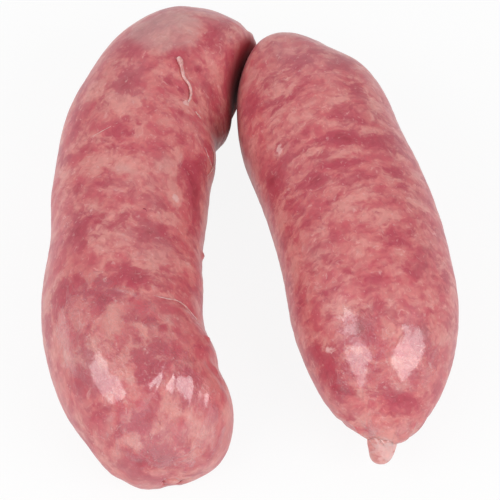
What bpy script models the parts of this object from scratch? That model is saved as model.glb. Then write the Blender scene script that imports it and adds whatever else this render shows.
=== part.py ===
"""A string of two fresh sausage links, as it lies on a table.

The string is one unbroken casing: a tucked end, a long curved link, a twist, a short straighter link
and a pinched end. It is turned as a straight string along X, pleated where the casing is pinched, laid
along one path, pressed together where the links touch, and cut flat where it rests on the table.
Units are metres, +Z is up, and the origin is on the table under the middle of the string.
"""

import math

import bmesh
import bpy
from mathutils import Vector, noise

MM = 0.001

# Each link: the radius of its filled casing, and how far each end takes to round off to the pinch.
LONG_RADIUS = 17.9 * MM
LONG_WAIST = 0.9 * MM
LONG_WAIST_REACH = 22 * MM
LONG_OUTER_ROUND = 19 * MM
LONG_INNER_ROUND = 19 * MM
SHORT_RADIUS = 18.6 * MM
SHORT_INNER_ROUND = 30 * MM
SHORT_OUTER_ROUND = 34 * MM

# Pinched casing: the twist between the links, and the gathered stub that closes each outer end.
NECK_RADIUS = 2.3 * MM
STUB_SWELL = 1.3
LONG_STUB = 2.5 * MM
SHORT_STUB = 5.5 * MM

# Pleats run from each pinch over the shoulder of the link, and wind round the twist like rope.
PLEATS = 7
PLEAT_DEPTH = 0.08
PLEAT_REACH = 6 * MM
WIND_PER_METRE = math.radians(15) / MM

# The filling pushes the casing out in soft lumps.
LUMP_HEIGHT = 0.45 * MM
LUMP_SIZE = 12 * MM

AROUND = 28
LINK_STEPS = 56
PINCH_STEPS = 8

# Where the middle of the string runs, in millimetres, from the tucked stub to the free one.
LONG_LINK_PATH = [
    (-12.9, -57.1, 4.0),
    (-15.0, -54.3, 8.6),
    (-18.1, -47.9, 14.0),
    (-25.3, -33.5, 16.8),
    (-28.4, -14.5, 16.8),
    (-26.3, 5.5, 16.6),
    (-25.5, 22.5, 16.8),
    (-21.3, 37.9, 16.8),
    (-11.7, 47.1, 15.0),
    (-0.1, 53.5, 10.0),
]
TWIST_PATH = [(4.3, 55.9, 8.5)]
SHORT_LINK_PATH = [
    (8.7, 53.1, 10.5),
    (12.1, 39.9, 15.6),
    (17.8, 22.1, 17.3),
    (22.9, 5.2, 17.6),
    (26.5, -12.5, 17.2),
    (28.2, -28.5, 14.8),
    (28.7, -42.5, 10.4),
    (28.1, -52.1, 6.4),
]
PATH_STEPS = 16

# The links press together beside the twist. Between them runs this parting, which bends aside
# for the short link's shoulder.
PARTING_X = -2.7 * MM
PARTING_BENDS_FROM_Y = 37.5 * MM
PARTING_BEND = 18.0
PARTING_GAP = 0.5 * MM
PRESSED_SOFTNESS = 0.6 * MM

TABLE_SIDE = 0.3
TABLE_THICKNESS = 0.05


def empty_scene():
    for obj in list(bpy.data.objects):
        bpy.data.objects.remove(obj)


def collection(name):
    made = bpy.data.collections.new(name)
    bpy.context.scene.collection.children.link(made)
    return made


def raw_sausage_material():
    material = bpy.data.materials.new("raw_sausage")
    material.use_nodes = True
    shader = material.node_tree.nodes["Principled BSDF"]
    shader.inputs["Base Color"].default_value = (0.56, 0.16, 0.16, 1)
    shader.inputs["Roughness"].default_value = 0.35
    shader.inputs["Metallic"].default_value = 0
    return material


def smooth_through(before, start, end, after, share):
    """A point between start and end on the Catmull-Rom curve through all four."""
    first = start * 2
    second = (end - before) * share
    third = (before * 2 - start * 5 + end * 4 - after) * share**2
    fourth = (start * 3 - before - end * 3 + after) * share**3
    return (first + second + third + fourth) / 2


def path_places():
    """Close points along the whole string, PATH_STEPS of them from each hand-set point to the next."""
    knots = [Vector(place) * MM for place in LONG_LINK_PATH + TWIST_PATH + SHORT_LINK_PATH]
    ends = [knots[0] * 2 - knots[1], *knots, knots[-1] * 2 - knots[-2]]
    places = []
    for index in range(len(knots) - 1):
        four = ends[index : index + 4]
        places += [smooth_through(*four, step / PATH_STEPS) for step in range(PATH_STEPS)]
    return [*places, knots[-1]]


def distances(places):
    found = [0.0]
    for start, end in zip(places, places[1:]):
        found.append(found[-1] + (end - start).length)
    return found


def path_object(places, home):
    """The line that the middle of the string follows, as a guide for the Curve modifier."""
    curve = bpy.data.curves.new("string_path", "CURVE")
    curve.dimensions = "3D"
    curve.twist_mode = "MINIMUM"
    spline = curve.splines.new("POLY")
    spline.points.add(len(places) - 1)
    for point, place in zip(spline.points, places):
        point.co = (*place, 1)
    path = bpy.data.objects.new("string_path", curve)
    path.hide_render = True
    path.display_type = "WIRE"
    home.objects.link(path)
    return path


def stations():
    """How far along the string each stretch begins: stub, long link, twist, short link, stub, end."""
    far = distances(path_places())
    twist_from = far[PATH_STEPS * (len(LONG_LINK_PATH) - 1)]
    twist_to = far[PATH_STEPS * (len(LONG_LINK_PATH) + len(TWIST_PATH))]
    return [0, LONG_STUB, twist_from, twist_to, far[-1] - SHORT_STUB, far[-1]]


def rounded(distance, reach):
    """From 0 at a pinch to 1 where the link is full, as a quarter of an ellipse."""
    share = min(1.0, max(0.0, distance / reach))
    return math.sqrt(1 - (1 - share) ** 2)


def link_radius(along, start, end, full, round_in, round_out):
    filled = rounded(along - start, round_in) * rounded(end - along, round_out)
    return NECK_RADIUS + (full - NECK_RADIUS) * filled


def stub_radius(along, tip, pinch):
    """A stub swells a little past its pinch, and closes in a round tip."""
    share = abs(along - tip) / abs(pinch - tip)
    return NECK_RADIUS * rounded(share, 0.5) * (1 + (STUB_SWELL - 1) * math.sin(math.pi * share))


def string_radius(along):
    tip, long_from, long_to, short_from, short_to, end = stations()
    if along < long_from:
        return stub_radius(along, tip, long_from)
    if along < long_to:
        from_middle = along - (long_from + long_to) / 2
        full = LONG_RADIUS - LONG_WAIST * math.exp(-((from_middle / LONG_WAIST_REACH) ** 2))
        return link_radius(along, long_from, long_to, full, LONG_OUTER_ROUND, LONG_INNER_ROUND)
    if along < short_from:
        return NECK_RADIUS
    if along < short_to:
        return link_radius(
            along, short_from, short_to, SHORT_RADIUS, SHORT_INNER_ROUND, SHORT_OUTER_ROUND
        )
    return stub_radius(along, end, short_to)


def steps_between(start, end, count):
    """Places from start up to end, closer together near both, where the outline turns most."""
    return [start + (end - start) * (1 - math.cos(math.pi * n / count)) / 2 for n in range(count)]


def outline():
    """(distance along, radius) down the string, from tip to tip."""
    marks = stations()
    counts = [PINCH_STEPS, LINK_STEPS, PINCH_STEPS, LINK_STEPS, PINCH_STEPS]
    along = [x for span in zip(marks, marks[1:], counts) for x in steps_between(*span)]
    return [(x, string_radius(x)) for x in [*along, marks[-1]]]


def turned(profile, home):
    """The straight string: its outline, turned about X by a Screw modifier."""
    mesh = bpy.data.meshes.new("outline")
    corners = [(x, 0, radius) for x, radius in profile]
    mesh.from_pydata(corners, [(n, n + 1) for n in range(len(corners) - 1)], [])
    turning = bpy.data.objects.new("outline", mesh)
    home.objects.link(turning)
    screw = turning.modifiers.new("turn", "SCREW")
    screw.axis = "X"
    screw.steps = screw.render_steps = AROUND
    screw.use_merge_vertices = True
    screw.merge_threshold = 0.001 * MM
    graph = bpy.context.evaluated_depsgraph_get()
    bm = bmesh.new()
    bm.from_mesh(turning.evaluated_get(graph).to_mesh())
    bpy.data.objects.remove(turning)
    bmesh.ops.remove_doubles(bm, verts=bm.verts, dist=0.001 * MM)
    bmesh.ops.recalc_face_normals(bm, faces=bm.faces)
    return bm


def pleat(bm):
    """Gathers the casing into folds near every pinch, wound round more the nearer they are."""
    pinches = stations()[1:5]
    for vert in bm.verts:
        along, radius = vert.co.x, math.hypot(vert.co.y, vert.co.z)
        if radius == 0:
            continue
        near = min(pinches, key=lambda pinch: abs(pinch - along))
        fade = math.exp(-((along - near) ** 2) / PLEAT_REACH**2)
        angle = math.atan2(vert.co.z, vert.co.y) + WIND_PER_METRE * (along - near) * fade
        scale = 1 + PLEAT_DEPTH * fade * math.cos(PLEATS * angle)
        vert.co.y *= scale
        vert.co.z *= scale


def swell(bm):
    """Pushes the casing out and in over the lumps of filling."""
    for vert in bm.verts:
        out = Vector((0, vert.co.y, vert.co.z))
        if out.length > NECK_RADIUS * 2:
            vert.co += out.normalized() * LUMP_HEIGHT * noise.noise(vert.co / LUMP_SIZE)


def straight_string(home):
    bm = turned(outline(), home)
    swell(bm)
    pleat(bm)
    mesh = bpy.data.meshes.new("sausage_string")
    bm.to_mesh(mesh)
    bm.free()
    return mesh


def laid_on_path(mesh, path, home):
    """The string bent along its path, as a mesh of its own, with each point's place along it kept."""
    along = [vert.co.x for vert in mesh.vertices]
    straight = bpy.data.objects.new("straight_string", mesh)
    home.objects.link(straight)
    bend = straight.modifiers.new("lay on path", "CURVE")
    bend.object = path
    bend.deform_axis = "POS_X"
    graph = bpy.context.evaluated_depsgraph_get()
    bent = bpy.data.meshes.new_from_object(straight.evaluated_get(graph))
    bpy.data.objects.remove(straight)
    return bent, along


def held_back(value, limit):
    """value, or a little under limit where it would pass it, with a soft shoulder."""
    over = (value - limit) / PRESSED_SOFTNESS
    if over > 30:
        return limit
    return value - PRESSED_SOFTNESS * math.log1p(math.exp(over))


def press_links_apart(mesh, along):
    """Flattens each link where the other pushes on it, so that they touch without overlapping."""
    _, long_from, long_to, short_from, short_to, _ = stations()
    for vert, far in zip(mesh.vertices, along):
        bend = max(0.0, vert.co.y - PARTING_BENDS_FROM_Y)
        parting = PARTING_X + PARTING_BEND * bend**2
        if long_from < far < long_to:
            vert.co.x = held_back(vert.co.x, parting - PARTING_GAP / 2)
        elif short_from < far < short_to:
            vert.co.x = -held_back(-vert.co.x, -parting - PARTING_GAP / 2)


def table_cutter(home):
    """A slab below the table's surface, which leaves the string flat where its weight rests."""
    bpy.ops.mesh.primitive_cube_add(size=1, location=(0, 0, -TABLE_THICKNESS / 2))
    table = bpy.context.object
    table.name = "table_cutter"
    table.scale = (TABLE_SIDE, TABLE_SIDE, TABLE_THICKNESS)
    bpy.ops.object.transform_apply(location=True, rotation=False, scale=True)
    for owner in list(table.users_collection):
        owner.objects.unlink(table)
    home.objects.link(table)
    table.hide_render = True
    table.display_type = "WIRE"
    return table


def sausage_string(home, helpers):
    path = path_object(path_places(), helpers)
    mesh, along = laid_on_path(straight_string(helpers), path, helpers)
    press_links_apart(mesh, along)
    mesh.shade_smooth()
    mesh.materials.append(raw_sausage_material())
    string = bpy.data.objects.new("sausage_string", mesh)
    home.objects.link(string)
    rest = string.modifiers.new("rest on table", "BOOLEAN")
    rest.operation = "DIFFERENCE"
    rest.solver = "EXACT"
    rest.object = table_cutter(helpers)
    return string


def main():
    empty_scene()
    home = collection("string_of_sausage_links")
    helpers = collection("helpers")
    sausage_string(home, helpers)


main()
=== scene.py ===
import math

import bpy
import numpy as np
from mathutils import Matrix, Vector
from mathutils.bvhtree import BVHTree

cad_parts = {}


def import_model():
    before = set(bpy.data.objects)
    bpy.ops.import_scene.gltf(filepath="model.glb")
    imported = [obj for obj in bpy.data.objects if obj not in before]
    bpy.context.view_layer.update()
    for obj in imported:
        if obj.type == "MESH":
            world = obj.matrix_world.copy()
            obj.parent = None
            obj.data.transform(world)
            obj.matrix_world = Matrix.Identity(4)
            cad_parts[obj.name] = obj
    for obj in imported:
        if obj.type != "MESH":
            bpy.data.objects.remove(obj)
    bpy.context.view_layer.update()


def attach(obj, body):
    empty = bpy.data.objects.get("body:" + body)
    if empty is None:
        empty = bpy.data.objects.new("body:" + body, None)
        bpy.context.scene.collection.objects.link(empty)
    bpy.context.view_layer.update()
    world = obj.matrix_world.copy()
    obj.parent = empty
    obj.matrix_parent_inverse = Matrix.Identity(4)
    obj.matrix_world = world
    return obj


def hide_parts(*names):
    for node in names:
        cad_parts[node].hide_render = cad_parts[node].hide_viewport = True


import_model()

# A string of two fresh, coarsely minced pork sausage links in one natural casing, raw and moist.
# The casing is swept along one path as one closed mesh. A place on it is told by how far along the string
# it is, in millimetres from the tucked stub, and how far around, in degrees: 0 is the side that faces the
# other link, 90 is the top and 180 the outer side.

MM = 0.001

# ---------------------------------------------------------------- sizes of the string

LONG_RADIUS = 17.9 * MM
LONG_WAIST = 0.9 * MM
LONG_WAIST_REACH = 22 * MM
LONG_ROUND = 19 * MM
SHORT_RADIUS = 18.6 * MM
SHORT_INNER_ROUND = 30 * MM
SHORT_OUTER_ROUND = 34 * MM
SHORT_END_BLUNTNESS = 0.57
NECK_RADIUS = 2.3 * MM
STUB_SWELL = 0.85
LONG_STUB = 2.5 * MM
SHORT_STUB = 5.5 * MM

# Where the middle of the string runs, in millimetres, from the tucked stub to the free one.
LONG_LINK_PATH = [
    (-16.6, -57.4, 12.4),
    (-17.0, -54.2, 13.0),
    (-18.7, -47.9, 14.4),
    (-25.3, -33.5, 16.8),
    (-28.4, -14.5, 16.8),
    (-26.3, 5.5, 16.6),
    (-25.9, 19.5, 16.8),
    (-23.9, 31.0, 16.8),
    (-18.2, 41.3, 16.4),
    (-9.4, 48.6, 14.2),
    (-0.1, 53.5, 10.0),
]
TWIST_PATH = [(4.3, 55.9, 8.5)]
SHORT_LINK_PATH = [
    (8.7, 53.1, 10.5),
    (12.1, 39.9, 15.6),
    (17.8, 22.1, 17.3),
    (22.9, 5.2, 17.6),
    (26.5, -12.5, 17.2),
    (28.2, -28.5, 14.8),
    (28.7, -42.5, 10.4),
    (28.1, -52.1, 6.4),
]
PATH_STEPS = 16

# Rings along each stretch (stub, long link, twist, short link, stub) and corners round each ring.
RING_COUNTS = (14, 210, 22, 180, 18)
AROUND = 210

# ---------------------------------------------------------------- colours, as seen in flat light

ROSE = (196, 88, 98)
PINK = (208, 118, 117)
LEAN = (178, 64, 82)
DEEP_LEAN = (152, 44, 60)
FAT = (218, 146, 139)
PALE_FAT = (230, 184, 180)
# The casing's grey milky film, and also the colour of a painted reflection of the backdrop.
FILM_AND_REFLECTION_GREY = (196, 154, 150)
FIBRE = (224, 160, 156)
# Painted shade: the deep red that the crevice between the links is painted with, not a colour of the meat.
CREVICE_SHADE_RED = (150, 22, 38)
NICK = (96, 26, 32)


def linear(colour):
    """A colour of 0 to 255 per channel as the linear values that a shader takes."""
    shares = [channel / 255 for channel in colour]
    return (*[((s + 0.055) / 1.055) ** 2.4 if s > 0.04045 else s / 12.92 for s in shares], 1.0)


# ---------------------------------------------------------------- node trees


class Graph:
    """A node tree being built: nodes are added with their inputs, and sockets joined by maths."""

    def __init__(self, tree):
        self.tree = tree

    def put(self, socket, value):
        if isinstance(value, bpy.types.NodeSocket):
            self.tree.links.new(socket, value)
        else:
            socket.default_value = value

    def add(self, kind, inputs=None, **settings):
        node = self.tree.nodes.new(kind)
        for name, value in settings.items():
            setattr(node, name, value)
        for name, value in (inputs or {}).items():
            self.put(node.inputs[name], value)
        return node

    def math(self, operation, *values):
        node = self.add("ShaderNodeMath", operation=operation)
        for socket, value in zip(node.inputs, values):
            self.put(socket, value)
        return node.outputs[0]

    def plus(self, first, second):
        return self.math("ADD", first, second)

    def minus(self, first, second):
        return self.math("SUBTRACT", first, second)

    def times(self, first, *others):
        for other in others:
            first = self.math("MULTIPLY", first, other)
        return first

    def vector(self, operation, first, second=None, scale=None):
        node = self.add("ShaderNodeVectorMath", operation=operation)
        self.put(node.inputs[0], first)
        if second is not None:
            self.put(node.inputs[1], second)
        if scale is not None:
            self.put(node.inputs["Scale"], scale)
        return node.outputs[0]

    def split(self, vector):
        return self.add("ShaderNodeSeparateXYZ", {"Vector": vector}).outputs

    def join(self, x, y, z):
        return self.add("ShaderNodeCombineXYZ", {"X": x, "Y": y, "Z": z}).outputs[0]

    def ease(self, value, low, high, start=0.0, end=1.0):
        """start where value is low, end where it is high, and a smooth change between."""
        sizes = {"Value": value, "From Min": low, "From Max": high, "To Min": start, "To Max": end}
        return self.add("ShaderNodeMapRange", sizes, interpolation_type="SMOOTHSTEP").outputs["Result"]

    def noise(self, vector, scale, detail=2.0, roughness=0.5, distortion=0.0):
        sizes = {"Vector": vector, "Scale": scale, "Detail": detail}
        sizes.update({"Roughness": roughness, "Distortion": distortion})
        return self.add("ShaderNodeTexNoise", sizes)

    def blend(self, share, first, second, how="MIX"):
        """The first colour where share is 0, the second where it is 1."""
        node = self.add("ShaderNodeMix", data_type="RGBA", blend_type=how)
        self.put(node.inputs["Factor"], share)
        self.put(node.inputs[6], first)
        self.put(node.inputs[7], second)
        return node.outputs[2]


def new_tree(name, kind, inputs, outputs):
    """A node group with these named sockets: (graph, its input sockets, its output node)."""
    tree = bpy.data.node_groups.new(name, kind)
    for title, socket_type in inputs:
        tree.interface.new_socket(title, in_out="INPUT", socket_type=socket_type)
    for title, socket_type in outputs:
        tree.interface.new_socket(title, in_out="OUTPUT", socket_type=socket_type)
    graph = Graph(tree)
    return graph, graph.add("NodeGroupInput").outputs, graph.add("NodeGroupOutput")


def grown(name, source, tree, values):
    """What a geometry tree makes of source, as a plain mesh object that stands at the origin."""
    modifier = source.modifiers.new("grow", "NODES")
    modifier.node_group = tree
    for item in tree.interface.items_tree:
        if item.name in values:
            modifier[item.identifier] = values[item.name]
    graph = bpy.context.evaluated_depsgraph_get()
    mesh = bpy.data.meshes.new_from_object(source.evaluated_get(graph), depsgraph=graph)
    source.modifiers.remove(modifier)
    mesh.name = name
    made = bpy.data.objects.new(name, mesh)
    bpy.context.scene.collection.objects.link(made)
    return made


# ---------------------------------------------------------------- the string's path and outline


def smooth_through(before, start, end, after, share):
    """A point between start and end on the Catmull-Rom curve through all four."""
    first = start * 2
    second = (end - before) * share
    third = (before * 2 - start * 5 + end * 4 - after) * share**2
    fourth = (start * 3 - before - end * 3 + after) * share**3
    return (first + second + third + fourth) / 2


def path_places():
    knots = [Vector(place) * MM for place in LONG_LINK_PATH + TWIST_PATH + SHORT_LINK_PATH]
    ends = [knots[0] * 2 - knots[1], *knots, knots[-1] * 2 - knots[-2]]
    places = []
    for index in range(len(knots) - 1):
        four = ends[index : index + 4]
        places += [smooth_through(*four, step / PATH_STEPS) for step in range(PATH_STEPS)]
    return [*places, knots[-1]]


def distances(places):
    found = [0.0]
    for start, end in zip(places, places[1:]):
        found.append(found[-1] + (end - start).length)
    return found


PATH = path_places()
ALONG_PATH = distances(PATH)
STRING_LENGTH = ALONG_PATH[-1]
LONG_FROM = LONG_STUB
LONG_TO = ALONG_PATH[PATH_STEPS * (len(LONG_LINK_PATH) - 1)]
SHORT_FROM = ALONG_PATH[PATH_STEPS * (len(LONG_LINK_PATH) + len(TWIST_PATH))]
SHORT_TO = STRING_LENGTH - SHORT_STUB


def middle(along):
    """The place of the string's middle line at this distance along it, and which way it heads."""
    columns = [np.interp(along, ALONG_PATH, [place[axis] for place in PATH]) for axis in range(3)]
    ahead = [np.interp(along + MM, ALONG_PATH, [place[axis] for place in PATH]) for axis in range(3)]
    behind = [np.interp(along - MM, ALONG_PATH, [place[axis] for place in PATH]) for axis in range(3)]
    return Vector(columns), (Vector(ahead) - Vector(behind)).normalized()


def rounded(distance, reach, bluntness=0.5):
    """From 0 at a pinch to 1 where the link is full. At 0.5 it is a quarter of an ellipse."""
    share = min(1.0, max(0.0, distance / reach))
    return (1 - (1 - share) ** 2) ** bluntness


def link_radius(along, start, end, full, round_in, round_out, bluntness=0.5):
    filled = rounded(along - start, round_in) * rounded(end - along, round_out, bluntness)
    return NECK_RADIUS + (full - NECK_RADIUS) * filled


def stub_radius(along, tip, pinch):
    """A stub swells a little past its pinch, and closes in a round tip."""
    share = abs(along - tip) / abs(pinch - tip)
    return NECK_RADIUS * rounded(share, 0.5) * (1 + (STUB_SWELL - 1) * math.sin(math.pi * share))


def string_radius(along):
    if along < LONG_FROM:
        return stub_radius(along, 0, LONG_FROM)
    if along < LONG_TO:
        from_middle = along - (LONG_FROM + LONG_TO) / 2
        full = LONG_RADIUS - LONG_WAIST * math.exp(-((from_middle / LONG_WAIST_REACH) ** 2))
        return link_radius(along, LONG_FROM, LONG_TO, full, LONG_ROUND, LONG_ROUND)
    if along < SHORT_FROM:
        return NECK_RADIUS
    if along < SHORT_TO:
        rounds = (SHORT_INNER_ROUND, SHORT_OUTER_ROUND, SHORT_END_BLUNTNESS)
        return link_radius(along, SHORT_FROM, SHORT_TO, SHORT_RADIUS, *rounds)
    return stub_radius(along, STRING_LENGTH, SHORT_TO)


def ring_places():
    """How far along the string each ring lies, closer together where the outline turns most."""
    marks = [0, LONG_FROM, LONG_TO, SHORT_FROM, SHORT_TO, STRING_LENGTH]
    rings = []
    for start, end, count in zip(marks, marks[1:], RING_COUNTS):
        shares = [(1 - math.cos(math.pi * n / count)) / 2 for n in range(count)]
        evens = [n / count for n in range(count)]
        rings += [start + (end - start) * (s + e) / 2 for s, e in zip(shares, evens)]
    return [*rings, STRING_LENGTH]


def middle_line():
    """The string's middle as a curve, whose points carry the string's radius."""
    curve = bpy.data.curves.new("middle_line", "CURVE")
    curve.dimensions = "3D"
    spline = curve.splines.new("POLY")
    rings = ring_places()
    spline.points.add(len(rings) - 1)
    for point, along in zip(spline.points, rings):
        point.co = (*middle(along)[0], 1)
        point.radius = string_radius(along)
    line = bpy.data.objects.new("middle_line", curve)
    bpy.context.scene.collection.objects.link(line)
    return line


# ---------------------------------------------------------------- the casing


def attribute(graph, name, kind="FLOAT"):
    return graph.add("GeometryNodeInputNamedAttribute", {"Name": name}, data_type=kind).outputs[0]


def stored(graph, geometry, name, value, kind="FLOAT"):
    node = graph.add("GeometryNodeStoreNamedAttribute", data_type=kind, domain="POINT")
    graph.put(node.inputs["Geometry"], geometry)
    graph.put(node.inputs["Name"], name)
    graph.put(node.inputs["Value"], value)
    return node.outputs[0]


WELD = 0.01 * MM
# Lumps fade in between these girths, the press of the links between the next two, and the first stub's
# shift ends between these distances along the string.
LUMPY_GIRTH = (3 * MM, 9 * MM)
PRESSED_GIRTH = (2.5 * MM, 4 * MM)
STUB_SHIFT_ENDS = (1 * MM, 2.6 * MM)
# How far the pleats wander from an even winding, in radians, and how quickly that changes.
PLEAT_WANDER = 1.4
PLEAT_WANDER_SCALE = 160.0


def swept_skin(g, given):
    """The casing as a plain tube whose points keep how far along they are, their girth and their ring."""
    place = g.add("GeometryNodeInputPosition").outputs[0]
    line = g.add("GeometryNodeSetCurveNormal", {"Curve": given["Geometry"]}, mode="Z_UP").outputs[0]
    line = stored(g, line, "along", g.add("GeometryNodeSplineParameter").outputs["Length"])
    line = stored(g, line, "girth", g.add("GeometryNodeInputRadius").outputs[0])
    line = stored(g, line, "middle", place, "FLOAT_VECTOR")
    ring = g.add("GeometryNodeCurvePrimitiveCircle", {"Resolution": given["Around"], "Radius": 1.0})
    ring = stored(g, ring.outputs["Curve"], "round", place, "FLOAT_VECTOR")
    sweep = g.add("GeometryNodeCurveToMesh", {"Curve": line, "Profile Curve": ring})
    g.put(sweep.inputs["Scale"], attribute(g, "girth"))
    return sweep.outputs["Mesh"]


def place_on_tube(g):
    """Where a point lies on the straight string."""
    girth = attribute(g, "girth")
    circle = g.split(attribute(g, "round", "FLOAT_VECTOR"))
    return g.join(attribute(g, "along"), g.times(girth, circle["X"]), g.times(girth, circle["Y"], -1.0))


def pleat_offset(g, given, tube):
    """Pleats: the nearer a pinch, the deeper they are and the further they are wound round."""
    along = attribute(g, "along")
    depth = 0.0
    for number in range(1, 5):
        reach = g.math("DIVIDE", g.minus(along, given[f"Pinch {number}"]), given["Pleat Reach"])
        fade = g.math("EXPONENT", g.times(reach, reach, -1.0))
        depth = g.plus(g.times(fade, given[f"Pleat Depth {number}"]), depth)
    circle = g.split(attribute(g, "round", "FLOAT_VECTOR"))
    angle = g.math("ARCTAN2", circle["Y"], circle["X"])
    uneven = g.noise(tube, PLEAT_WANDER_SCALE).outputs["Fac"]
    turned = g.plus(g.times(along, given["Winding"]), g.times(uneven, PLEAT_WANDER))
    wave = g.math("COSINE", g.times(g.plus(angle, turned), given["Pleats"]))
    place = g.add("GeometryNodeInputPosition").outputs[0]
    radial = g.vector("SUBTRACT", place, attribute(g, "middle", "FLOAT_VECTOR"))
    return g.vector("SCALE", radial, scale=g.times(depth, wave))


def lump_offset(g, given, tube):
    """Lumps of filling, and finer ripples that run across the link as the mince does."""
    full = g.ease(attribute(g, "girth"), *LUMPY_GIRTH)
    lump_scale = g.math("DIVIDE", 1.0, given["Lump Size"])
    lump = g.minus(g.noise(tube, lump_scale, 1.0).outputs["Fac"], 0.5)
    across = g.vector("MULTIPLY", tube, (2.0, 1.0, 1.0))
    ripple_scale = g.math("DIVIDE", 1.0, given["Ripple Size"])
    ripple = g.minus(g.noise(across, ripple_scale, 2.0, 0.5, 0.6).outputs["Fac"], 0.5)
    heights = g.plus(g.times(lump, given["Lump Height"]), g.times(ripple, given["Ripple Height"]))
    normal = g.add("GeometryNodeInputNormal").outputs[0]
    return g.vector("SCALE", normal, scale=g.times(heights, full, 2.0))


def tuck_offset(g, given):
    """The first stub is tucked under its link."""
    along = attribute(g, "along")
    drop = g.ease(along, 0.0, given["Tuck Reach"], given["Tuck Drop"], 0.0)
    back = g.ease(along, *STUB_SHIFT_ENDS, given["Tuck Back"], 0.0)
    return g.join(0.0, back, g.times(drop, -1.0))


def pressed_place(g, given):
    """The links press flat against each other, and settle flat on the table."""
    x, y, z = g.split(g.add("GeometryNodeInputPosition").outputs[0])
    past = g.math("MAXIMUM", g.minus(y, given["Parting From"]), 0.0)
    parting = g.plus(given["Parting"], g.times(given["Parting Bend"], past, past))
    half_gap = g.times(given["Parting Gap"], 0.5)
    twist = g.times(g.plus(given["Pinch 2"], given["Pinch 3"]), 0.5)
    on_short = g.math("GREATER_THAN", attribute(g, "along"), twist)
    held_left = g.math("SMOOTH_MIN", x, g.minus(parting, half_gap), given["Parting Softness"])
    held_right = g.math("SMOOTH_MAX", x, g.plus(parting, half_gap), given["Parting Softness"])
    pressed = g.plus(held_left, g.times(g.minus(held_right, held_left), on_short))
    share = g.ease(attribute(g, "girth"), *PRESSED_GIRTH)
    pressed = g.plus(x, g.times(g.minus(pressed, x), share))
    return g.join(pressed, y, g.math("SMOOTH_MAX", z, 0.0, given["Table Softness"]))


def finished(g, geometry, material):
    """The last part of a tree: everything made real, shaded smooth and given its material."""
    whole = g.add("GeometryNodeRealizeInstances", {"Geometry": geometry})
    smooth = g.add("GeometryNodeSetShadeSmooth", {"Geometry": whole.outputs[0]})
    dressed = {"Geometry": smooth.outputs[0], "Material": material}
    return g.add("GeometryNodeSetMaterial", dressed).outputs[0]


def casing_tree():
    """Sweeps the casing round a middle line that carries its radius, and gives it its shape.

    It keeps on every point where it lies on the straight string, as the attribute "tube".
    """
    sizes = ["Lump Height", "Lump Size", "Ripple Height", "Ripple Size"]
    sizes += ["Pleats", "Pleat Reach", "Winding"]
    sizes += ["Pinch 1", "Pinch 2", "Pinch 3", "Pinch 4"]
    sizes += ["Pleat Depth 1", "Pleat Depth 2", "Pleat Depth 3", "Pleat Depth 4"]
    sizes += ["Parting", "Parting From", "Parting Bend", "Parting Gap"]
    sizes += ["Parting Softness", "Table Softness", "Tuck Drop", "Tuck Back", "Tuck Reach"]
    inputs = [("Geometry", "NodeSocketGeometry"), ("Around", "NodeSocketInt")]
    inputs += [(name, "NodeSocketFloat") for name in sizes] + [("Material", "NodeSocketMaterial")]
    g, given, out = new_tree("Casing", "GeometryNodeTree", inputs, [("Geometry", "NodeSocketGeometry")])

    tube = place_on_tube(g)
    skin = stored(g, swept_skin(g, given), "tube", tube, "FLOAT_VECTOR")
    skin = g.add("GeometryNodeMergeByDistance", {"Geometry": skin, "Distance": WELD}).outputs[0]
    filled = g.vector("ADD", pleat_offset(g, given, tube), lump_offset(g, given, tube))
    for offset in (filled, tuck_offset(g, given)):
        moved = g.add("GeometryNodeSetPosition", {"Geometry": skin, "Offset": offset})
        skin = moved.outputs[0]
    rested = g.add("GeometryNodeSetPosition", {"Geometry": skin, "Position": pressed_place(g, given)})
    g.put(out.inputs["Geometry"], finished(g, rested.outputs[0], given["Material"]))
    return g.tree


CASING_SIZES = {
    "Around": AROUND,
    "Lump Height": 0.25 * MM,
    "Lump Size": 13 * MM,
    "Ripple Height": 0.16 * MM,
    "Ripple Size": 6 * MM,
    "Pleats": 7.0,
    "Pleat Reach": 4 * MM,
    "Winding": math.radians(10) / MM,
    "Pinch 1": LONG_FROM,
    "Pinch 2": LONG_TO,
    "Pinch 3": SHORT_FROM,
    "Pinch 4": SHORT_TO,
    "Pleat Depth 1": 0.02,
    "Pleat Depth 2": 0.05,
    "Pleat Depth 3": 0.05,
    "Pleat Depth 4": 0.06,
    "Parting": -3.5 * MM,
    "Parting From": 36 * MM,
    "Parting Bend": 21.0,
    "Parting Gap": -2.2 * MM,
    "Parting Softness": 7 * MM,
    "Table Softness": 1.2 * MM,
    "Tuck Drop": 9 * MM,
    "Tuck Back": 2.3 * MM,
    "Tuck Reach": 15 * MM,
}


# ---------------------------------------------------------------- materials


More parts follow.
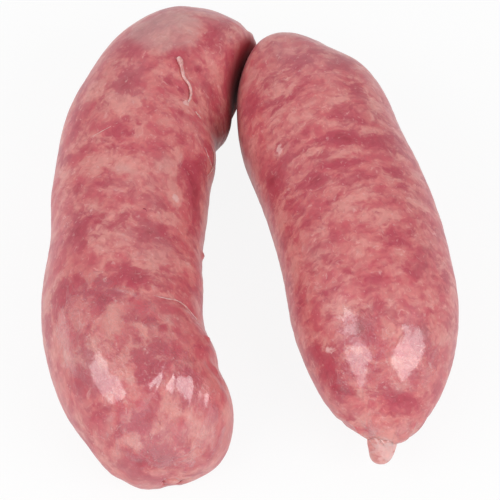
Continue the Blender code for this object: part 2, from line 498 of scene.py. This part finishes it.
def marbling_group():
    """The mince under the casing: lean, fat and the pink between them, from a place on the tube."""
    inputs = [("Vector", "NodeSocketVector"), ("Lean", "NodeSocketFloat"), ("Fat", "NodeSocketFloat")]
    inputs += [("Veil", "NodeSocketFloat"), ("Fold", "NodeSocketFloat")]
    g, given, out = new_tree("Marbling", "ShaderNodeTree", inputs, [("Color", "NodeSocketColor")])
    place = given["Vector"]
    warp = g.vector("SUBTRACT", g.noise(place, 170.0, 3.0, 0.6).outputs["Color"], (0.5, 0.5, 0.5))
    bent = g.vector("ADD", place, g.vector("SCALE", warp, scale=4.5 * MM))
    # The mince runs across the short link more than across the long one.
    stretch = g.ease(g.split(place)["X"], LONG_TO, SHORT_FROM, 1.2, 1.9)
    across = g.vector("MULTIPLY", bent, g.join(stretch, 1.0, 1.0))

    patches = g.noise(across, 150.0, 4.0, 0.6).outputs["Fac"]
    shreds = g.noise(g.vector("ADD", across, (0.2, 0.5, 0.1)), 430.0, 3.0, 0.6).outputs["Fac"]
    lumps = g.noise(g.vector("ADD", across, (0.3, 0.1, 0.2)), 150.0, 3.0, 0.55).outputs["Fac"]
    crumbs = g.noise(g.vector("ADD", across, (0.8, 0.2, 0.4)), 520.0, 2.0, 0.5).outputs["Fac"]
    clouds = g.noise(g.vector("ADD", across, (0.7, 0.4, 0.9)), 260.0, 2.0, 0.5).outputs["Fac"]
    grain = g.noise(bent, 900.0, 3.0, 0.65).outputs["Fac"]

    rough_edge = g.times(g.minus(grain, 0.5), 0.14)
    lean = g.plus(g.plus(patches, rough_edge), g.times(g.minus(shreds, 0.5), 0.36))
    lean = g.plus(lean, g.times(given["Lean"], 0.25))
    fat = g.plus(g.plus(lumps, rough_edge), g.times(g.minus(crumbs, 0.5), 0.3))
    fat = g.plus(fat, g.times(given["Fat"], 0.35))
    colour = g.blend(g.ease(clouds, 0.36, 0.64), linear(ROSE), linear(PINK))
    colour = g.blend(g.ease(fat, 0.44, 0.7, 0.0, 0.85), colour, linear(FAT))
    colour = g.blend(g.ease(lean, 0.48, 0.68, 0.0, 0.85), colour, linear(LEAN))
    colour = g.blend(g.ease(lean, 0.7, 0.9, 0.0, 0.7), colour, linear(DEEP_LEAN))
    colour = g.blend(g.ease(fat, 0.78, 0.9, 0.0, 0.8), colour, linear(PALE_FAT))

    # Thin pale threads of gristle, here and there, and fine specks of fat.
    ridge = g.math("ABSOLUTE", g.minus(g.noise(across, 210.0, 2.0, 0.5, 0.5).outputs["Fac"], 0.5))
    threads = g.times(g.ease(ridge, 0.0, 0.02, 1.0, 0.0), g.ease(clouds, 0.5, 0.7, 0.0, 0.35))
    colour = g.blend(threads, colour, linear(PALE_FAT))
    specks = g.noise(bent, 1300.0, 1.0).outputs["Fac"]
    colour = g.blend(g.ease(specks, 0.64, 0.76, 0.0, 0.3), colour, linear(PALE_FAT))
    # First the uneven milky veil of the casing's own film, then the marked veil: partly film and partly a
    # painted reflection of the backdrop, whose largest patch lies on top near the long link's far end.
    veil = g.ease(g.noise(place, 75.0, 3.0, 0.6).outputs["Fac"], 0.5, 0.72, 0.0, 0.2)
    ragged = g.plus(g.times(g.minus(clouds, 0.5), 0.7), g.times(g.minus(grain, 0.5), 0.3))
    marked_veil_and_reflection = g.ease(g.plus(given["Veil"], ragged), 0.25, 0.85, 0.0, 0.45)
    colour = g.blend(g.plus(veil, marked_veil_and_reflection), colour, linear(FILM_AND_REFLECTION_GREY))
    tinted = g.vector("SCALE", colour, scale=g.ease(grain, 0.25, 0.75, 0.92, 1.07))
    # Painted shade: the faces pressed into the crevice between the links are blended to deep red.
    g.put(out.inputs["Color"], g.blend(given["Fold"], tinted, linear(CREVICE_SHADE_RED)))
    return g.tree


def wet_film_group():
    """The moist casing: where it is wet it is smoother and glossier, and finely crinkled."""
    inputs = [("Vector", "NodeSocketVector"), ("Wet", "NodeSocketFloat"), ("Fold", "NodeSocketFloat")]
    outputs = [("Roughness", "NodeSocketFloat"), ("Coat", "NodeSocketFloat"), ("Height", "NodeSocketFloat")]
    g, given, out = new_tree("Wet film", "ShaderNodeTree", inputs, outputs)
    place = given["Vector"]
    patchy = g.noise(place, 300.0, 4.0, 0.6, 0.8).outputs["Fac"]
    wet = g.ease(g.plus(given["Wet"], g.times(g.minus(patchy, 0.5), 1.5)), 0.3, 0.65)
    crinkles = g.noise(place, 700.0, 3.0, 0.55, 1.6).outputs["Fac"]
    sags = g.noise(place, 190.0, 1.0).outputs["Fac"]
    outside_crevice_shade = g.minus(1.0, given["Fold"])
    roughness = g.plus(g.times(wet, -0.18), g.ease(patchy, 0.3, 0.7, 0.4, 0.5))
    g.put(out.inputs["Roughness"], g.plus(roughness, g.times(given["Fold"], 0.5)))
    g.put(out.inputs["Coat"], g.times(g.plus(g.times(wet, 0.85), 0.07), outside_crevice_shade))
    g.put(out.inputs["Height"], g.plus(g.times(crinkles, g.plus(g.times(wet, 3.2), 0.3)), sags))
    return g.tree


def material_graph(name):
    material = bpy.data.materials.new(name)
    material.use_nodes = True
    material.node_tree.nodes.clear()
    graph = Graph(material.node_tree)
    shader = graph.add("ShaderNodeBsdfPrincipled")
    output = graph.add("ShaderNodeOutputMaterial")
    graph.put(output.inputs["Surface"], shader.outputs[0])
    return material, graph, shader


def moist_shader(shader):
    """The even part of a wet, slightly see-through surface."""
    shader.inputs["Coat Roughness"].default_value = 0.12
    shader.inputs["Coat IOR"].default_value = 1.7
    shader.inputs["IOR"].default_value = 1.5
    shader.inputs["Subsurface Weight"].default_value = 0.18
    shader.inputs["Subsurface Radius"].default_value = (1.0, 0.3, 0.2)
    shader.inputs["Subsurface Scale"].default_value = 2 * MM


def casing_material(marbling, film):
    material, g, shader = material_graph("casing_over_mince")
    tube = g.add("ShaderNodeAttribute", attribute_name="tube").outputs["Vector"]
    meat = g.add("ShaderNodeGroup", node_tree=marbling)
    g.put(meat.inputs["Vector"], tube)
    skin = g.add("ShaderNodeGroup", node_tree=film)
    g.put(skin.inputs["Vector"], tube)
    for name in ("lean", "fat", "veil", "fold", "wet"):
        mark = g.add("ShaderNodeAttribute", attribute_name=name).outputs["Fac"]
        for group in (meat, skin):
            if name.title() in group.inputs:
                g.put(group.inputs[name.title()], mark)
    g.put(shader.inputs["Base Color"], meat.outputs["Color"])
    g.put(shader.inputs["Roughness"], skin.outputs["Roughness"])
    g.put(shader.inputs["Coat Weight"], skin.outputs["Coat"])
    bump = {"Strength": 0.5, "Distance": 0.2 * MM, "Height": skin.outputs["Height"]}
    g.put(shader.inputs["Normal"], g.add("ShaderNodeBump", bump).outputs[0])
    moist_shader(shader)
    shader.inputs["Sheen Weight"].default_value = 0.14
    shader.inputs["Sheen Roughness"].default_value = 0.4
    return material


def fibre_material(name, colour, second, alpha):
    """A strand of two cloudy colours, which lets a little of what is behind it through."""
    material, g, shader = material_graph(name)
    place = g.add("ShaderNodeTexCoord").outputs["Object"]
    cloudy = g.noise(place, 900.0, 2.0).outputs["Fac"]
    g.put(shader.inputs["Base Color"], g.blend(g.ease(cloudy, 0.3, 0.7), linear(colour), linear(second)))
    g.put(shader.inputs["Roughness"], g.ease(cloudy, 0.3, 0.7, 0.25, 0.45))
    g.put(shader.inputs["Alpha"], g.ease(cloudy, 0.3, 0.7, alpha, min(1.0, alpha + 0.2)))
    shader.inputs["Coat Weight"].default_value = 0.4
    moist_shader(shader)
    return material


# ---------------------------------------------------------------- stage


# How much of the backdrop's white the camera and gloss see. The rest shows the shadow of the string.
WHITE_SHARE = 0.9


def backdrop_material():
    """White to the camera and to gloss, and plain pale paper to everything else."""
    material = bpy.data.materials.new("pale_paper")
    material.use_nodes = True
    material.node_tree.nodes.clear()
    g = Graph(material.node_tree)
    paper = g.add("ShaderNodeBsdfDiffuse", {"Color": (0.86, 0.86, 0.86, 1)})
    white = g.add("ShaderNodeEmission", {"Color": (1, 1, 1, 1), "Strength": 1.0})
    rays = g.add("ShaderNodeLightPath").outputs
    seen = g.math("MAXIMUM", rays["Is Camera Ray"], rays["Is Glossy Ray"])
    share = g.times(g.math("MAXIMUM", seen, rays["Is Transmission Ray"]), WHITE_SHARE)
    mix = g.add("ShaderNodeMixShader", {"Fac": share})
    g.put(mix.inputs[1], paper.outputs[0])
    g.put(mix.inputs[2], white.outputs[0])
    g.put(g.add("ShaderNodeOutputMaterial").inputs["Surface"], mix.outputs[0])
    return material


def floor():
    bpy.ops.mesh.primitive_plane_add(size=3.0, location=(0, 0, -0.05 * MM))
    plane = bpy.context.object
    plane.name = "floor"
    plane.data.materials.append(backdrop_material())


def world():
    made = bpy.data.worlds.new("studio")
    made.use_nodes = True
    made.node_tree.nodes.clear()
    g = Graph(made.node_tree)
    rays = g.add("ShaderNodeLightPath").outputs
    strength = g.plus(0.45, g.times(rays["Is Camera Ray"], 0.55))
    light = g.add("ShaderNodeBackground", {"Color": (1, 1, 1, 1), "Strength": strength})
    g.put(g.add("ShaderNodeOutputWorld").inputs["Surface"], light.outputs[0])
    bpy.context.scene.world = made


TARGET = Vector((0.3, -2.5, 15)) * MM
CAMERA_LENS = 178
CAMERA_DISTANCE = 0.55
CAMERA_ELEVATION = math.radians(55)


def soft_box(name, towards, distance, width, height, power):
    """A white lamp that stands this way from the string, and faces it."""
    lamp = bpy.data.lights.new(name, "AREA")
    lamp.shape = "RECTANGLE"
    lamp.size = width
    lamp.size_y = height
    lamp.energy = power
    made = bpy.data.objects.new(name, lamp)
    made.location = TARGET + Vector(towards).normalized() * distance
    made.rotation_euler = Vector(towards).to_track_quat("Z", "Y").to_euler()
    bpy.context.scene.collection.objects.link(made)


def camera():
    lens = bpy.data.cameras.new("camera")
    lens.lens = CAMERA_LENS
    lens.sensor_width = 36
    lens.clip_start = 0.01
    made = bpy.data.objects.new("camera", lens)
    back = Vector((0, -math.cos(CAMERA_ELEVATION), math.sin(CAMERA_ELEVATION)))
    made.location = TARGET + back * CAMERA_DISTANCE
    made.rotation_euler = back.to_track_quat("Z", "Y").to_euler()
    bpy.context.scene.collection.objects.link(made)
    bpy.context.scene.camera = made


# ---------------------------------------------------------------- marks on the casing

# Each mark: (along, around, length, width, strength). Lengths are in millimetres, along and across.
LEAN_MARKS = [
    (111, 80, 6, 7, 0.7),
    (100, 80, 6, 10, 0.8),
    (98, 115, 5, 10, 0.7),
    (89, 95, 7, 9, 0.9),
    (81, 130, 6, 9, 0.8),
    (69, 30, 16, 8, 0.9),
    (62, 105, 4, 8, 0.8),
    (51, 65, 7, 14, 1.0),
    (50, 125, 8, 10, 0.9),
    (37, 80, 6, 7, 0.7),
    (38, 130, 5, 8, 0.9),
    (33, 100, 7, 9, 0.9),
    (26, 55, 5, 10, 0.6),
    (21, 135, 7, 9, 0.8),
    (17, 90, 7, 9, 0.9),
    (14, 135, 5, 6, 0.6),
    (9, 110, 4, 7, 0.8),
    (5, 105, 4, 13, 1.2),
    (12, 62, 4, 6, 0.8),
    (9, 45, 3, 4, 0.8),
    (157, 80, 6, 10, 0.8),
    (160, 110, 4, 9, 0.7),
    (160, 35, 7, 7, 1.0),
    (181, 90, 5, 12, 0.9),
    (188, 60, 7, 12, 0.8),
    (179, 35, 9, 9, 1.0),
    (183, 130, 6, 10, 0.8),
    (224, 70, 4, 9, 1.0),
    (225, 120, 5, 6, 1.0),
    (233, 38, 6, 9, 1.0),
    (236, 105, 7, 7, 0.9),
    (226, 25, 6, 8, 0.8),
    (102, 60, 2, 2, 1.5),
    (93, 70, 2, 2.4, 1.2),
    (93, 60, 1.8, 1.8, 1.2),
    (94, 45, 2, 2, 1.2),
    (85, 55, 2, 2, 1.0),
]
FAT_MARKS = [
    (88, 120, 7, 9, 0.35),
    (70, 110, 8, 12, 0.35),
    (56, 75, 6, 14, 0.35),
    (48, 92, 8, 9, 0.35),
    (39, 55, 6, 10, 0.35),
    (22, 88, 7, 9, 0.3),
    (9, 80, 4, 9, 0.2),
    (170, 50, 6, 7, 0.4),
    (184, 70, 7, 10, 0.35),
    (196, 90, 5, 8, 0.35),
    (226, 45, 4, 5, 0.7),
    (246, 90, 7, 12, 1.0),
    (62, 51, 3.6, 3, 1.5),
    (55, 112, 3, 3, 1.3),
    (176, 45, 3.4, 3.4, 1.4),
    (90, 52, 2.6, 2, 1.3),
    (171, 100, 2.4, 4, 0.8),
]
# The first and largest mark, on top near the long link's far end, is a painted reflection of the backdrop;
# the smaller ones are the casing's grey film.
VEIL_AND_REFLECTION_MARKS = [
    (104, 103, 10, 14, 1.9),
    (66, 95, 5, 6, 0.6),
    (26, 60, 6, 10, 0.5),
    (234, 110, 6, 8, 0.5),
]
WET_MARKS = [
    (15, 95, 34, 26, 0.75),
    (29, 120, 16, 16, 1.0),
    (9, 80, 12, 18, 0.8),
    (231, 68, 14, 14, 0.9),
    (229, 112, 12, 14, 0.9),
    (221, 70, 6, 9, 0.6),
    (242, 95, 6, 16, 0.6),
]

# Lobes push the casing out, or in where their height is below 0: (along, around, length, width, height).
LOBES = [
    (118, 118, 12, 14, -1.2),
    (126, 92, 8, 14, 1.2),
    (109, 42, 26, 18, -2.2),
    (118, -30, 24, 24, -1.5),
    (94, 160, 12, 20, -0.8),
    (97, 8, 16, 20, -1.2),
    (80, 10, 14, 20, 1.1),
    (67, 165, 22, 24, 1.3),
    (52, 165, 20, 24, -1.2),
    (47, 15, 18, 20, 1.2),
    (27, 165, 24, 24, -0.7),
    (30, 15, 10, 16, -0.6),
    (15, 25, 6, 18, -1.2),
    (17, 195, 14, 20, -1),
    (8, 0, 14, 26, 2.2),
    (5, 200, 10, 16, 1.1),
    (9, 50, 9, 14, 1.1),
    (148, 130, 12, 18, -1.8),
    (147, 70, 10, 14, 1.4),
    (172, 160, 26, 20, -0.9),
    (176, -12, 40, 20, -0.4),
    (243, 215, 8, 14, 1.4),
    (242, 132, 5, 9, 1.2),
    (242.5, 15, 5, 6, 0.4),
    (242, 265, 5, 14, -1.5),
    (235, 30, 10, 14, 0.5),
    (56, 5, 2, 2, 0.6),
    (22, 25, 2, 2, 0.5),
    (14, 30, 2, 2, 0.5),
]

# Each crease: the (along, around) places it runs through, then its width and depth in millimetres.
# A ridge has a depth below 0.
CREASES = [
    ([(34.5, 92), (32.5, 78), (31, 64), (31, 47), (28.5, 25)], 1.3, 0.3),
    ([(15, 80), (12.5, 92), (11, 102), (10, 104)], 1.0, 0.35),
    ([(17.5, 72), (15, 76), (12.5, 86)], 0.8, -0.25),
    ([(6, 85), (6.5, 69), (6.5, 56)], 1.6, 0.4),
    ([(14.5, 38), (12, 30), (10.5, 15)], 1.0, 0.4),
    ([(14, 60), (10, 68), (6, 82)], 0.7, -0.2),
    ([(16, 74), (11, 82), (7, 98)], 0.6, -0.15),
    ([(12, 48), (8, 56), (5, 68)], 0.7, -0.2),
    ([(13, 118), (9, 124), (6, 136)], 0.7, -0.2),
    ([(243.5, 105), (242, 135), (240, 148)], 0.8, -0.45),
    ([(241.5, 95), (240, 108), (237.5, 118)], 1, 0.25),
    ([(241.5, 60), (240.5, 46)], 1, 0.25),
    ([(242.5, 40), (241.5, 30)], 0.8, -0.4),
]


# How weak and how strong the marks that lie over each other may get.
MARK_LIMITS = (-1, 1.6)
# Painted shade, deep red, on the faces that press against the other link, in millimetres: how far from the
# parting it is full, over what distance that fades, and where along the table it starts and is in full.
CREVICE_SHADE_HALF = 0.5
CREVICE_SHADE_FADE = 2
CREVICE_SHADE_FROM = 20
CREVICE_SHADE_REACH = 8


def tube_place(along, around):
    """A place on the straight string, in metres."""
    turn = math.radians(around)
    radius = string_radius(along * MM)
    return np.array([along * MM, radius * math.cos(turn), radius * math.sin(turn)])


def marked(tube, marks):
    """How strongly each point is marked: a mark's own strength in its middle, fading to nothing."""
    total = np.zeros(len(tube))
    for along, around, length, width, strength in marks:
        apart = (tube - tube_place(along, around)) / (np.array([length, width, width]) * MM)
        total += strength * np.exp(-((apart * 2) ** 2).sum(axis=1))
    return total


def from_line(tube, places):
    """How far each point lies from a line through these places on the straight string."""
    corners = [tube_place(*place) for place in places]
    nearest = np.full(len(tube), 1.0)
    for start, end in zip(corners, corners[1:]):
        run = end - start
        share = np.clip(((tube - start) @ run) / (run @ run), 0, 1)
        nearest = np.minimum(nearest, np.linalg.norm(tube - start - share[:, None] * run, axis=1))
    return nearest


def crevice_shade_share(places):
    """Where crevice shade is painted: 1 on the faces that press against the other link, fading to 0 where
    they part.
    """
    x, y = places[:, 0] / MM, places[:, 1] / MM
    past = np.maximum(y - CASING_SIZES["Parting From"] / MM, 0)
    parting = CASING_SIZES["Parting"] / MM + CASING_SIZES["Parting Bend"] * MM * past**2
    beside = np.clip(1 - (np.abs(x - parting) - CREVICE_SHADE_HALF) / CREVICE_SHADE_FADE, 0, 1)
    return beside**2 * np.clip((y - CREVICE_SHADE_FROM) / CREVICE_SHADE_REACH, 0, 1)


def vertex_numbers(mesh, name, field, width):
    found = np.zeros(len(mesh.vertices) * width, np.float32)
    mesh.attributes[name].data.foreach_get(field, found)
    return found.reshape(-1, width).astype(float)


def shape_and_mark(casing):
    """Presses creases and lobes into the casing, and stores its marks for the material."""
    mesh = casing.data
    tube = vertex_numbers(mesh, "tube", "vector", 3)
    raised = marked(tube, LOBES) * MM
    for places, width, depth in CREASES:
        raised -= depth * MM * np.exp(-((from_line(tube, places) / (width * MM)) ** 2))
    places = vertex_numbers(mesh, "position", "vector", 3)
    normals = np.array([vertex.normal[:] for vertex in mesh.vertices])
    moved = places + normals * raised[:, None]
    moved[:, 2] = np.maximum(moved[:, 2], 0)
    mesh.attributes["position"].data.foreach_set("vector", moved.ravel().astype(np.float32))
    marks = {"lean": LEAN_MARKS, "fat": FAT_MARKS, "veil": VEIL_AND_REFLECTION_MARKS, "wet": WET_MARKS}
    values = {name: np.clip(marked(tube, listed), *MARK_LIMITS) for name, listed in marks.items()}
    values["fold"] = crevice_shade_share(moved)
    for name, listed in values.items():
        mesh.attributes.new(name, "FLOAT", "POINT").data.foreach_set("value", listed.astype(np.float32))
    mesh.update()


# ---------------------------------------------------------------- strands, threads and grains


def surface_of(casing):
    """A function from a place on the string to its point on the casing and the way out from there."""
    tree = BVHTree.FromPolygons(
        [vertex.co for vertex in casing.data.vertices], [face.vertices for face in casing.data.polygons]
    )

    def on_casing(along, around, lift=0.0):
        centre, ahead = middle(along * MM)
        inner = ahead.cross(Vector((0, 0, 1))).normalized()
        up = inner.cross(ahead)
        turn = math.radians(around)
        out = inner * math.cos(turn) + up * math.sin(turn)
        hit, normal, _, _ = tree.ray_cast(centre, out)
        return hit + normal * lift * MM, normal

    return on_casing


def strand_tree():
    """A thread with uneven girth, from a line that carries its radius."""
    inputs = [("Geometry", "NodeSocketGeometry"), ("Sides", "NodeSocketInt")]
    inputs += [("Step", "NodeSocketFloat"), ("Unevenness", "NodeSocketFloat")]
    inputs += [("Material", "NodeSocketMaterial")]
    g, given, out = new_tree("Strand", "GeometryNodeTree", inputs, [("Geometry", "NodeSocketGeometry")])
    steps = {"Curve": given["Geometry"], "Length": given["Step"]}
    line = g.add("GeometryNodeResampleCurve", steps, mode="LENGTH").outputs[0]
    ring = g.add("GeometryNodeCurvePrimitiveCircle", {"Resolution": given["Sides"], "Radius": 1.0})
    place = g.add("GeometryNodeInputPosition").outputs[0]
    wobble = g.minus(g.noise(place, 1400.0, 1.0).outputs["Fac"], 0.5)
    uneven = g.plus(1.0, g.times(wobble, given["Unevenness"]))
    sweep = g.add("GeometryNodeCurveToMesh", {"Curve": line, "Profile Curve": ring.outputs["Curve"]})
    g.put(sweep.inputs["Scale"], g.times(g.add("GeometryNodeInputRadius").outputs[0], uneven))
    sweep.inputs["Fill Caps"].default_value = True
    g.put(out.inputs["Geometry"], finished(g, sweep.outputs[0], given["Material"]))
    return g.tree


def strand(name, tree, on_casing, places, radii, material):
    """A thread that lies on the casing through these (along, around, lift) places."""
    curve = bpy.data.curves.new(name, "CURVE")
    curve.dimensions = "3D"
    curve.resolution_u = 16
    spline = curve.splines.new("BEZIER")
    spline.bezier_points.add(len(places) - 1)
    for point, place, radius in zip(spline.bezier_points, places, radii):
        point.co = on_casing(*place)[0]
        point.handle_left_type = point.handle_right_type = "AUTO"
        point.radius = radius * MM
    line = bpy.data.objects.new(name + "_line", curve)
    bpy.context.scene.collection.objects.link(line)
    sizes = {"Sides": 10, "Step": 0.15 * MM, "Unevenness": 0.7, "Material": material}
    made = grown(name, line, tree, sizes)
    bpy.data.objects.remove(line)
    return made


# Each strand: its name, the (along, around, lift) places it runs through and its radius at each.
STRANDS = [
    (
        "loose_strand",
        [
            (100, 76, 0.5),
            (99.5, 73, 0.5),
            (98.5, 69, 0.4),
            (97, 64, 0.35),
            (96, 56, 0.35),
            (92.5, 51, 0.3),
            (90.5, 51, 0.1),
        ],
        [0.45, 0.68, 0.4, 0.36, 0.34, 0.32, 0.3],
    ),
    ("fine_thread", [(89.5, 42, 0.1), (89, 39, 0.15), (89, 35, 0.05)], [0.12, 0.18, 0.1]),
    (
        "crease_fibre",
        [(31.5, 68, 0), (31, 58, 0.05), (31, 47, 0.1), (28.5, 25, 0.1)],
        [0.04, 0.1, 0.13, 0.16],
    ),
    ("scratch_fibre", [(76, 126, 0), (77, 112, 0.03), (78.5, 100, 0)], [0.05, 0.08, 0.05]),
    ("side_fibre", [(80, 28, 0), (77.5, 18, 0.05), (77.5, 4, 0.05)], [0.05, 0.12, 0.12]),
    (
        "loose_loop",
        [(83.5, 18, 0), (81.5, 14, 0.15), (78.5, 11, 0.2), (75.5, 12, 0.15), (73, 16, 0)],
        [0.06, 0.1, 0.12, 0.12, 0.06],
    ),
]
NICKS = [
    ("long_nick", [(56, 74, -0.02), (56, 72.5, 0), (55.5, 71, -0.02)], [0.08, 0.15, 0.08]),
    ("round_nick", [(53, 114, -0.02), (53, 112, 0), (53, 110.5, -0.02)], [0.1, 0.18, 0.1]),
]

# ---------------------------------------------------------------- putting it together

skin_material = casing_material(marbling_group(), wet_film_group())
line = middle_line()
casing = grown("casing", line, casing_tree(), {**CASING_SIZES, "Material": skin_material})
bpy.data.objects.remove(line)
shape_and_mark(casing)

pieces = [casing]
on_casing = surface_of(casing)
thread_tree = strand_tree()
fibre = fibre_material("casing_fibre", FIBRE, PALE_FAT, 0.75)
nick = fibre_material("nicked_casing", NICK, LEAN, 0.8)
for listed, material in ((STRANDS, fibre), (NICKS, nick)):
    for name, places, radii in listed:
        pieces.append(strand(name, thread_tree, on_casing, places, radii, material))

for piece in pieces:
    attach(piece, "root")
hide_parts("sausage_string")

floor()
world()
camera()
soft_box("right_box", (0.69, -0.47, 0.56), 1.0, 0.8, 0.55, 5.0)
soft_box("left_box", (-0.67, -0.4, 0.62), 1.0, 1.0, 0.5, 5.0)
soft_box("far_card", (-0.08, 0.9, 0.42), 1.0, 0.8, 0.5, 1.2)
bpy.context.scene.view_settings.view_transform = "Standard"
